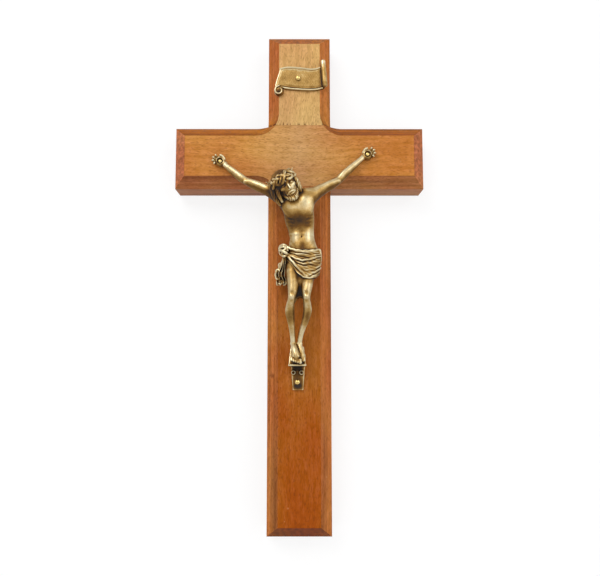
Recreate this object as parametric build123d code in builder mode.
"""Wall crucifix: a bevelled wooden cross, a cast metal figure, a cast scroll, round-headed pins and a ring hanger.

The frame has +Z up the post and +Y towards the wall. The origin is on the back face, at the centre of the crossing.
Left and right are as seen from the front.
"""

import os

from build123d import *

os.makedirs("parts", exist_ok=True)

# Cross boards
cross_height = 254.0
crossbar_length = 128.0
post_width = 32.0
crossbar_width = 32.0
board_thickness = 19.0
head_length = 49.0
lap_depth = 9.5
chamfer_width = 5.5
guide_radius = 6.35
cut_overrun = 1.0

# Round-headed pins
pin_length = 12.0
pin_radius = 0.6
pin_head_radius = 1.3
pin_head_height = 0.9
pin_tip_length = 1.5
pin_clearance = 0.05

# Cast figure
figure_height = 94.0
hand_web = 1.2
hand_cup_clearance = 0.35
tab_thickness = 1.4
tab_length = 13.5
tab_top_width = 7.2
tab_bottom_width = 6.0
tab_corner_radius = 1.2
tab_spare_hole_radius = 0.7
tab_spare_hole_spacing = 4.0
tab_spare_hole_drop = 3.6
foot_pin_drop = 8.2

# Cast scroll
scroll_width = 22.0
scroll_height = 11.4
scroll_thickness = 1.3
scroll_slant = 2.0
scroll_sag = 0.8
scroll_roll_radius = 1.5
scroll_roll_top_radius = 1.3
scroll_roll_rise = 3.0
scroll_curl_radius = 2.5
scroll_curl_width = 2.4
scroll_band_height = 0.9
scroll_pin_offset = 0.7

# Ring hanger, sunk in a pocket in the back of the post
pocket_width = 16.0
pocket_height = 34.0
pocket_depth = 4.0
pocket_corner_radius = 3.0
pocket_lift = 6.0
strap_width = 8.0
strap_sheet = 0.8
strap_length = 14.0
strap_screw_edge = 4.0
ring_wire_radius = 0.9
ring_clearance = 0.1
ring_width = 12.4
ring_height = 11.0
ring_corner_radius = 1.6
ring_top_radius = 5.0
screw_head_radius = 2.6
screw_head_height = 1.6
screw_shank_radius = 1.3
screw_length = 9.0
screw_tip_length = 2.5
screw_slot_width = 0.6
screw_slot_depth = 0.6
screw_clearance = 0.1
strap_pocket_gap = 2.0

# Places worked out from the sizes above
front = -board_thickness
post_top = crossbar_width / 2 + head_length
post_middle = post_top - cross_height / 2
pocket_bottom = crossbar_width / 2 + pocket_lift
strap_end = pocket_bottom + strap_pocket_gap
screw_height = strap_end + strap_screw_edge
knuckle_inner_radius = ring_wire_radius + ring_clearance
knuckle_outer_radius = knuckle_inner_radius + strap_sheet
knuckle_height = strap_end + strap_length
knuckle_depth = -pocket_depth + knuckle_outer_radius
strap_leaf = 2 * strap_sheet

# Figure tables, as shares of the figure's height: side, out from the wood, height, then half width and half depth
torso_shares = [
    (-0.021, 0.090, -0.239, 0.074, 0.034),
    (-0.016, 0.096, -0.277, 0.088, 0.051),
    (-0.002, 0.098, -0.340, 0.073, 0.055),
    (0.006, 0.094, -0.404, 0.064, 0.047),
    (0.013, 0.089, -0.468, 0.063, 0.043),
    (0.019, 0.083, -0.532, 0.076, 0.049),
    (0.019, 0.081, -0.617, 0.079, 0.049),
    (0.017, 0.083, -0.670, 0.064, 0.045),
]
loincloth_shares = [
    (0.018, 0.083, -0.520, 0.083, 0.056),
    (0.022, 0.083, -0.580, 0.089, 0.060),
    (0.026, 0.087, -0.650, 0.086, 0.062),
]
neck_shares = [
    (-0.020, 0.092, -0.262, 0.036, 0.034),
    (-0.036, 0.118, -0.240, 0.031, 0.031),
    (-0.056, 0.142, -0.222, 0.031, 0.031),
]
left_arm_shares = [
    (-0.070, 0.090, -0.256, 0.030, 0.030),
    (-0.154, 0.081, -0.219, 0.024, 0.024),
    (-0.229, 0.067, -0.183, 0.022, 0.022),
    (-0.301, 0.053, -0.145, 0.020, 0.020),
    (-0.353, 0.038, -0.100, 0.019, 0.018),
    (-0.400, 0.024, -0.056, 0.0145, 0.014),
]
right_arm_shares = [
    (0.045, 0.090, -0.246, 0.030, 0.030),
    (0.101, 0.083, -0.217, 0.025, 0.025),
    (0.154, 0.070, -0.187, 0.022, 0.022),
    (0.213, 0.055, -0.145, 0.021, 0.021),
    (0.277, 0.038, -0.081, 0.0185, 0.018),
    (0.341, 0.024, -0.019, 0.014, 0.014),
]
left_hand_shares = [
    (-0.391, 0.026, -0.064, 0.014, 0.014),
    (-0.412, 0.018, -0.047, 0.022, 0.020),
    (-0.436, 0.016, -0.030, 0.025, 0.020),
    (-0.464, 0.018, -0.018, 0.014, 0.014),
]
right_hand_shares = [
    (0.332, 0.026, -0.028, 0.014, 0.014),
    (0.352, 0.018, -0.009, 0.022, 0.020),
    (0.376, 0.016, 0.008, 0.025, 0.020),
    (0.402, 0.018, 0.023, 0.014, 0.014),
]
left_leg_shares = [
    (-0.026, 0.084, -0.600, 0.042, 0.042),
    (-0.029, 0.101, -0.681, 0.037, 0.038),
    (-0.034, 0.128, -0.777, 0.026, 0.029),
    (-0.045, 0.102, -0.856, 0.024, 0.026),
    (-0.034, 0.087, -0.936, 0.017, 0.019),
    (-0.021, 0.078, -1.015, 0.014, 0.016),
]
right_leg_shares = [
    (0.058, 0.084, -0.600, 0.044, 0.042),
    (0.054, 0.101, -0.691, 0.039, 0.038),
    (0.038, 0.128, -0.777, 0.026, 0.029),
    (0.048, 0.102, -0.856, 0.024, 0.026),
    (0.032, 0.087, -0.936, 0.017, 0.019),
    (0.010, 0.078, -1.015, 0.014, 0.016),
]
left_foot_shares = [
    (-0.023, 0.074, -1.004, 0.016, 0.019),
    (-0.020, 0.098, -1.064, 0.020, 0.017),
    (-0.016, 0.110, -1.106, 0.019, 0.010),
]
right_foot_shares = [
    (0.012, 0.074, -1.004, 0.016, 0.019),
    (0.008, 0.088, -1.064, 0.019, 0.016),
    (0.010, 0.098, -1.100, 0.018, 0.010),
]
left_hair_shares = [
    (-0.132, 0.140, -0.200, 0.026, 0.030),
    (-0.120, 0.140, -0.262, 0.024, 0.028),
    (-0.092, 0.132, -0.308, 0.013, 0.016),
]
right_hair_shares = [
    (-0.020, 0.132, -0.176, 0.024, 0.030),
    (0.004, 0.126, -0.232, 0.020, 0.024),
    (0.014, 0.116, -0.276, 0.011, 0.014),
]
tail_shares = [
    (-0.078, 0.086, -0.540, 0.018, 0.016),
    (-0.102, 0.062, -0.600, 0.019, 0.015),
    (-0.112, 0.050, -0.650, 0.018, 0.014),
    (-0.094, 0.046, -0.712, 0.018, 0.014),
]
head_centre_shares = (-0.074, 0.160, -0.204)
head_axis_shares = (-0.39, 0.18, 0.90)
head_half_height_share = 0.084
head_half_width_share = 0.066
crown_rise_share = 0.028
crown_radius_share = 0.069
crown_wire_share = 0.010
beard_centre_shares = (-0.036, 0.186, -0.284)
beard_half_height_share = 0.030
beard_half_width_share = 0.024
knot_centre_shares = (-0.078, 0.094, -0.536)
knot_half_height_share = 0.030
knot_half_width_share = 0.024
foot_centre_share = -0.010
footrest_top_share = -1.030
footrest_width_share = 0.0915
footrest_depth_share = 0.0980
footrest_top_depth_share = 0.0640
footrest_height_share = 0.0957
footrest_lip_share = 0.0170
left_palm_shares = (-0.427, -0.036)
right_palm_shares = (0.368, 0.002)

left_palm = (left_palm_shares[0] * figure_height, left_palm_shares[1] * figure_height)
right_palm = (right_palm_shares[0] * figure_height, right_palm_shares[1] * figure_height)
foot_centre = foot_centre_share * figure_height
footrest_top = footrest_top_share * figure_height
footrest_width = footrest_width_share * figure_height
footrest_depth = footrest_depth_share * figure_height
footrest_top_depth = footrest_top_depth_share * figure_height
footrest_height = footrest_height_share * figure_height
footrest_lip = footrest_lip_share * figure_height
tab_top = footrest_top - footrest_height
foot_pin_place = (foot_centre, tab_top - foot_pin_drop)
scroll_centre = (0.0, crossbar_width / 2 + head_length / 2)
scroll_pin_place = (scroll_centre[0] - scroll_pin_offset, scroll_centre[1])


def on_figure(side: float, out: float, height: float) -> Vector:
    """A place on the figure, from its shares of the figure's height."""
    return Vector(side * figure_height, front - out * figure_height, height * figure_height)


def on_front(place: tuple, out: float = 0.0) -> Plane:
    """A plane on the wood's front face, facing out, at a side and height."""
    return Plane(origin=(place[0], front - out, place[1]), x_dir=(1, 0, 0), z_dir=(0, -1, 0))


def limb(stations: list, level: bool = False) -> Part:
    """A smooth limb through elliptical sections; level sections stay horizontal, the rest face along the limb."""
    places = [on_figure(*station[:3]) for station in stations]
    last = len(places) - 1
    with BuildPart() as made:
        for number, station in enumerate(stations):
            along = places[min(number + 1, last)] - places[max(number - 1, 0)]
            facing = Vector(0, 0, 1) if level else along
            across = Vector(1, 0, 0) if level else Vector(0, 1, 0).cross(along)
            with BuildSketch(Plane(places[number], x_dir=across, z_dir=facing)):
                Ellipse(station[3] * figure_height, station[4] * figure_height)
        loft()
    return made.part


def spheroid(centre: tuple, axis: tuple, half_height: float, half_width: float) -> Part:
    """An egg shape turned about its long axis."""
    tall = half_height * figure_height
    wide = half_width * figure_height
    upright = Vector(axis[0], -axis[1], axis[2])
    side = Vector(0, 1, 0).cross(upright)
    turning = Plane(on_figure(*centre), x_dir=side, z_dir=side.cross(upright))
    with BuildPart() as made:
        with BuildSketch(turning):
            with BuildLine():
                EllipticalCenterArc((0, 0), wide, tall, start_angle=-90, arc_size=180)
                Line((0, tall), (0, -tall))
            make_face()
        revolve(axis=Axis(turning.origin, turning.y_dir))
    return made.part


def pin_at(place: tuple, seat: float) -> Part:
    """A domed pin driven square into the front, its head resting on a seat that stands out from the wood."""
    with BuildPart() as made:
        seat_plane = on_front(place, seat)
        with BuildSketch(Plane(seat_plane.origin, x_dir=(1, 0, 0), z_dir=(0, 0, 1))):
            with BuildLine():
                Polyline(
                    (0, -pin_head_height),
                    (0, pin_length),
                    (pin_radius, pin_length - pin_tip_length),
                    (pin_radius, 0),
                    (pin_head_radius, 0),
                )
                EllipticalCenterArc(
                    (0, 0), pin_head_radius, pin_head_height, start_angle=-90, arc_size=90
                )
            make_face()
        revolve(axis=Axis(seat_plane.origin, (0, 1, 0)))
    return made.part


# Cross outline with its front edges chamfered by a cutter whose guide bearing rounds the inner corners
with BuildPart() as routed_cross:
    with BuildSketch(Plane.XZ) as outline:
        Rectangle(crossbar_length, crossbar_width)
        with Locations((0, post_middle)):
            Rectangle(post_width, cross_height)
        inner_corners = outline.vertices().sort_by_distance((0, 0))[:4]
        fillet(inner_corners, guide_radius)
    extrude(amount=board_thickness)
    chamfer(routed_cross.faces().sort_by(Axis.Y)[0].edges(), chamfer_width)

pilot_radius = pin_radius + pin_clearance

# Upright post, halved at the front for the crossbar, with a pocket for the hanger in its back
with BuildPart() as upright_post:
    add(routed_cross.part)
    with BuildSketch(Plane.XZ):
        with Locations((0, post_middle)):
            Rectangle(post_width, cross_height)
    extrude(amount=board_thickness, mode=Mode.INTERSECT)
    with BuildSketch(Plane.XZ.offset(lap_depth)):
        Rectangle(post_width + 2 * cut_overrun, crossbar_width)
    extrude(amount=board_thickness, mode=Mode.SUBTRACT)
    with BuildSketch(Plane.XZ):
        with Locations((0, pocket_bottom + pocket_height / 2)):
            RectangleRounded(pocket_width, pocket_height, pocket_corner_radius)
    extrude(amount=pocket_depth, mode=Mode.SUBTRACT)
    with Locations(on_front(foot_pin_place)):
        Hole(pilot_radius, depth=pin_length - tab_thickness + pin_clearance)
    with Locations(on_front(scroll_pin_place)):
        Hole(pilot_radius, depth=pin_length - scroll_thickness + pin_clearance)
    with Locations(Plane((0, -pocket_depth, screw_height), x_dir=(1, 0, 0), z_dir=(0, 1, 0))):
        Hole(screw_shank_radius + screw_clearance, depth=screw_length - strap_leaf + screw_clearance)
upright_post.part.label = "upright_post"
export_step(upright_post.part, "parts/upright_post.step")

# Crossbar, halved at the back so that it runs unbroken across the front
with BuildPart() as crossbar:
    add(routed_cross.part)
    with BuildSketch(Plane.XZ):
        Rectangle(crossbar_length, crossbar_width)
    extrude(amount=board_thickness, mode=Mode.INTERSECT)
    with BuildSketch(Plane.XZ.offset(-cut_overrun)):
        Rectangle(post_width, crossbar_width + 2 * cut_overrun)
    extrude(amount=lap_depth + cut_overrun, mode=Mode.SUBTRACT)
    for palm in (left_palm, right_palm):
        with Locations(on_front(palm)):
            Hole(pilot_radius, depth=pin_length - hand_web + pin_clearance)
crossbar.part.label = "crossbar"
export_step(crossbar.part, "parts/crossbar.step")

# Cast figure with its footrest and nailing tab, all one casting
limbs = [
    limb(torso_shares, level=True),
    limb(loincloth_shares, level=True),
    limb(neck_shares),
    limb(left_arm_shares),
    limb(right_arm_shares),
    limb(left_hand_shares),
    limb(right_hand_shares),
    limb(left_leg_shares),
    limb(right_leg_shares),
    limb(left_foot_shares),
    limb(right_foot_shares),
    limb(left_hair_shares),
    limb(right_hair_shares),
    limb(tail_shares),
]
head = spheroid(head_centre_shares, head_axis_shares, head_half_height_share, head_half_width_share)
beard = spheroid(beard_centre_shares, head_axis_shares, beard_half_height_share, beard_half_width_share)
knot = spheroid(knot_centre_shares, (0, 0, 1), knot_half_height_share, knot_half_width_share)

head_up = Vector(head_axis_shares[0], -head_axis_shares[1], head_axis_shares[2]).normalized()
crown_centre = on_figure(*head_centre_shares) + head_up * (crown_rise_share * figure_height)
crown_plane = Plane(crown_centre, z_dir=head_up)

with BuildPart() as corpus:
    for piece in limbs:
        add(piece)
    for piece in (head, beard, knot):
        add(piece)
    with Locations(crown_plane):
        Torus(crown_radius_share * figure_height, crown_wire_share * figure_height)
    with BuildSketch(Plane.YZ.offset(foot_centre - footrest_width / 2)):
        Polygon(
            (front, footrest_top),
            (front - footrest_top_depth, footrest_top),
            (front - footrest_depth, tab_top + footrest_lip),
            (front - footrest_depth, tab_top),
            (front, tab_top),
            align=None,
        )
    extrude(amount=footrest_width)
    with BuildSketch(on_front((foot_centre, tab_top))) as tab_face:
        Polygon(
            (-tab_top_width / 2, footrest_lip),
            (tab_top_width / 2, footrest_lip),
            (tab_bottom_width / 2, -tab_length),
            (-tab_bottom_width / 2, -tab_length),
            align=None,
        )
        fillet(tab_face.vertices().sort_by(Axis.Y)[:2], tab_corner_radius)
    extrude(amount=tab_thickness)
    # Backs of the hands and feet lie flat on the wood
    with BuildSketch(Plane.XZ.offset(-front)):
        Rectangle(crossbar_length, 2 * cross_height)
    extrude(amount=-board_thickness, mode=Mode.SUBTRACT)
    # Cup of each palm, with the pin's hole through its floor
    for palm in (left_palm, right_palm):
        with BuildSketch(on_front(palm, hand_web)):
            Circle(pin_head_radius + hand_cup_clearance)
        extrude(amount=footrest_depth, mode=Mode.SUBTRACT)
        with Locations(on_front(palm, hand_web)):
            Hole(pilot_radius, depth=hand_web + cut_overrun)
    with Locations(on_front(foot_pin_place, tab_thickness)):
        Hole(pilot_radius, depth=tab_thickness + cut_overrun)
    with Locations(on_front((foot_centre, tab_top - tab_spare_hole_drop), tab_thickness)):
        with GridLocations(tab_spare_hole_spacing, 0, 2, 1):
            Hole(tab_spare_hole_radius, depth=tab_thickness + cut_overrun)
corpus.part.label = "corpus"
export_step(corpus.part, "parts/corpus.step")

# Cast scroll: a slanted sheet with a rolled right edge and a volute at its lower left
scroll_left = scroll_centre[0] - scroll_width / 2
scroll_right = scroll_centre[0] + scroll_width / 2
scroll_bottom = scroll_centre[1] - scroll_height / 2
scroll_top = scroll_centre[1] + scroll_height / 2
curl_middle = (scroll_left + scroll_curl_radius - scroll_slant, scroll_bottom - scroll_curl_radius / 2)
roll_foot = Vector(scroll_right + scroll_roll_radius, front - scroll_roll_radius, scroll_bottom)
roll_head = Vector(scroll_right, front - scroll_roll_radius, scroll_top + scroll_roll_rise)

with BuildPart() as scroll:
    with BuildSketch(on_front((0, 0))):
        with BuildLine():
            Polyline(
                (scroll_left - scroll_slant, scroll_bottom),
                (scroll_left, scroll_top),
                (scroll_right, scroll_top),
                (scroll_right + scroll_roll_radius, scroll_bottom),
            )
            ThreePointArc(
                (scroll_right + scroll_roll_radius, scroll_bottom),
                (scroll_centre[0], scroll_bottom - scroll_sag),
                (scroll_left - scroll_slant, scroll_bottom),
            )
        make_face()
    extrude(amount=scroll_thickness)
    with BuildSketch(Plane(roll_foot, x_dir=(1, 0, 0), z_dir=roll_head - roll_foot)):
        Circle(scroll_roll_radius)
    with BuildSketch(Plane(roll_head, x_dir=(1, 0, 0), z_dir=roll_head - roll_foot)):
        Circle(scroll_roll_top_radius)
    loft()
    with BuildSketch(on_front(curl_middle)):
        Circle(scroll_curl_radius)
    extrude(amount=scroll_curl_width)
    with BuildSketch(on_front(curl_middle, scroll_thickness)):
        Circle(scroll_curl_radius - scroll_band_height)
    extrude(amount=scroll_curl_width, mode=Mode.SUBTRACT)
    with BuildSketch(Plane.XZ.offset(-front)):
        with Locations(scroll_centre):
            Rectangle(2 * scroll_width, 2 * scroll_width)
    extrude(amount=-board_thickness, mode=Mode.SUBTRACT)
    with Locations(on_front(scroll_pin_place, scroll_thickness)):
        Hole(pilot_radius, depth=scroll_thickness + cut_overrun)
scroll.part.label = "scroll"
export_step(scroll.part, "parts/scroll.step")

# Four round-headed pins: one through each hand, one through the foot tab, one through the scroll
pin_places = {
    "left_hand_pin": (left_palm, hand_web),
    "right_hand_pin": (right_palm, hand_web),
    "foot_pin": (foot_pin_place, tab_thickness),
    "scroll_pin": (scroll_pin_place, scroll_thickness),
}
for name, (place, seat) in pin_places.items():
    pin = pin_at(place, seat)
    pin.label = name
    export_step(pin, f"parts/{name}.step")

# Hanger strap: sheet folded round the ring's bar, both leaves held by one screw
with BuildPart() as hanger_strap:
    with BuildSketch(Plane.YZ.offset(-strap_width / 2)):
        with Locations((knuckle_depth, knuckle_height)):
            Circle(knuckle_outer_radius)
        with Locations((-pocket_depth + strap_leaf / 2, strap_end + strap_length / 2)):
            Rectangle(strap_leaf, strap_length)
        with Locations((knuckle_depth, knuckle_height)):
            Circle(knuckle_inner_radius, mode=Mode.SUBTRACT)
    extrude(amount=strap_width)
    with Locations(Plane((0, -pocket_depth + strap_leaf, screw_height), x_dir=(1, 0, 0), z_dir=(0, 1, 0))):
        Hole(screw_shank_radius + screw_clearance, depth=strap_leaf + cut_overrun)
hanger_strap.part.label = "hanger_strap"
export_step(hanger_strap.part, "parts/hanger_strap.step")

# Hanger ring: bent wire with a straight bar through the strap's knuckle
ring_foot = Plane((0, knuckle_depth, knuckle_height), x_dir=(-1, 0, 0), z_dir=(0, 1, 0))
with BuildPart() as hanger_ring:
    with BuildLine(ring_foot) as ring_line:
        FilletPolyline(
            (-ring_width / 2, 0),
            (-ring_width / 2, ring_height),
            (ring_width / 2, ring_height),
            (ring_width / 2, 0),
            close=True,
            radius=[ring_corner_radius, ring_top_radius, ring_top_radius, ring_corner_radius],
        )
    with BuildSketch(Plane(ring_line.wire() @ 0, z_dir=ring_line.wire() % 0)):
        Circle(ring_wire_radius)
    sweep()
hanger_ring.part.label = "hanger_ring"
export_step(hanger_ring.part, "parts/hanger_ring.step")

# Hanger screw: slotted round head on the strap, pointed shank in the post
screw_seat = -pocket_depth + strap_leaf
with BuildPart() as hanger_screw:
    screw_plane = Plane((0, screw_seat, screw_height), x_dir=(1, 0, 0), z_dir=(0, 0, 1))
    with BuildSketch(screw_plane):
        with BuildLine():
            Polyline(
                (0, screw_head_height),
                (0, -screw_length),
                (screw_shank_radius, screw_tip_length - screw_length),
                (screw_shank_radius, 0),
                (screw_head_radius, 0),
            )
            EllipticalCenterArc(
                (0, 0), screw_head_radius, screw_head_height, start_angle=0, arc_size=90
            )
        make_face()
    revolve(axis=Axis((0, screw_seat, screw_height), (0, 1, 0)))
    slot_floor = screw_seat + screw_head_height - screw_slot_depth
    with BuildSketch(Plane((0, slot_floor, screw_height), x_dir=(1, 0, 0), z_dir=(0, 1, 0))):
        Rectangle(2 * screw_head_radius, screw_slot_width)
    extrude(amount=screw_head_height, mode=Mode.SUBTRACT)
hanger_screw.part.label = "hanger_screw"
export_step(hanger_screw.part, "parts/hanger_screw.step")
